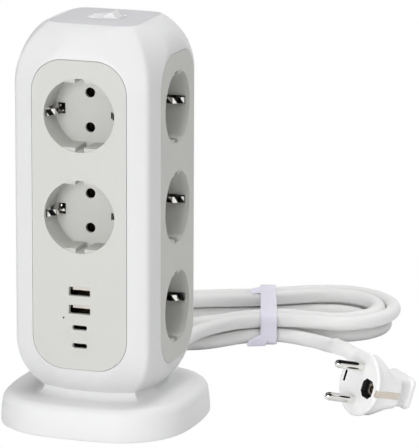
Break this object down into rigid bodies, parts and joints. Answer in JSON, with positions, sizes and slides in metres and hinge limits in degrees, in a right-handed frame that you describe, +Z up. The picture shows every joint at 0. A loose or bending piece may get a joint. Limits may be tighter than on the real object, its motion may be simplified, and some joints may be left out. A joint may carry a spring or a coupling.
{
  "type": "tower power strip",
  "caption": "Tower power strip: bowed square base, earthed sockets in grey panels on every side, charging ports, top rocker switch and a tied mains lead with an earthed plug.",
  "frame": {"origin": "centre of the base on the surface it stands on, found without the lead and plug", "axes": "+Z up the tower, -Y towards the panel with the charging ports, +X towards the tower's right side, the lead leaves at +Y"},
  "size_m": [0.2188, 0.3204, 0.2265],
  "materials": {
    "shell_white": "satin",
    "panel_grey": "fine matt",
    "switch_white": "gloss",
    "inner_black": "matt",
    "contact_brass": "plain",
    "earth_metal": "bright",
    "screw_steel": "plain",
    "port_metal": "bright",
    "board_green": "matt",
    "core_yellow": "matt",
    "wire_brown": "matt",
    "wire_blue": "matt",
    "wire_green": "matt",
    "cord_white": "satin",
    "tie_lavender": "satin",
    "plug_white": "satin",
    "pin_chrome": "bright",
    "foot_rubber": "matt"
  },
  "bodies": {
    "base": {"casing": "shell_white", "base_shell": "shell_white", "front_panel": "panel_grey", "right_panel": "panel_grey", "rear_panel": "panel_grey", "left_panel": "panel_grey", "top_plate": "panel_grey", "usb_c_bezels": "panel_grey", "base_plate": "panel_grey", "switch_housing": "switch_white", "front_contact_carrier": "inner_black", "right_contact_carrier": "inner_black", "rear_contact_carrier": "inner_black", "left_contact_carrier": "inner_black", "indicator_light": "inner_black", "front_live_bar": "contact_brass", "front_neutral_bar": "contact_brass", "right_live_bar": "contact_brass", "right_neutral_bar": "contact_brass", "rear_live_bar": "contact_brass", "rear_neutral_bar": "contact_brass", "left_live_bar": "contact_brass", "left_neutral_bar": "contact_brass", "live_link": "contact_brass", "neutral_link": "contact_brass", "switch_terminals": "contact_brass", "front_earth_bar": "earth_metal", "right_earth_bar": "earth_metal", "rear_earth_bar": "earth_metal", "left_earth_bar": "earth_metal", "earth_link": "earth_metal", "plug_earth_contacts": "earth_metal", "base_screws": "screw_steel", "tower_screws": "screw_steel", "carrier_screws": "screw_steel", "usb_screws": "screw_steel", "usb_a_port_upper": "port_metal", "usb_a_port_lower": "port_metal", "usb_c_port_upper": "port_metal", "usb_c_port_lower": "port_metal", "usb_board": "board_green", "usb_transformer": "core_yellow", "live_feed_wire": "wire_brown", "switched_live_wire": "wire_brown", "neutral_wire": "wire_blue", "earth_wire": "wire_green", "cord_clamp": "cord_white", "strain_relief": "cord_white", "cord_lead_tower": "cord_white", "cord_hank": "cord_white", "cord_lead_plug": "cord_white", "hank_tie": "tie_lavender", "plug_body": "plug_white", "plug_pins": "pin_chrome", "rubber_feet": "foot_rubber"},
    "rocker": {"switch_rocker": "switch_white", "switch_plunger": "inner_black"},
    "lever": {"contact_lever": "contact_brass"}
  },
  "joints": [
    {"name": "rocker_hinge", "type": "hinge", "parent": "base", "child": "rocker", "pos_m": [0.0008, 0, 0.2184], "axis": [0, 1, 0], "range_deg": [0, 28]},
    {"name": "lever_hinge", "type": "hinge", "parent": "base", "child": "lever", "pos_m": [0.0008, 0, 0.2114], "axis": [0, 1, 0], "range_deg": [-14, 0]}
  ],
  "couplings": [
    {"joint": "lever_hinge", "follows": "rocker_hinge", "ratio": -0.5}
  ]
}
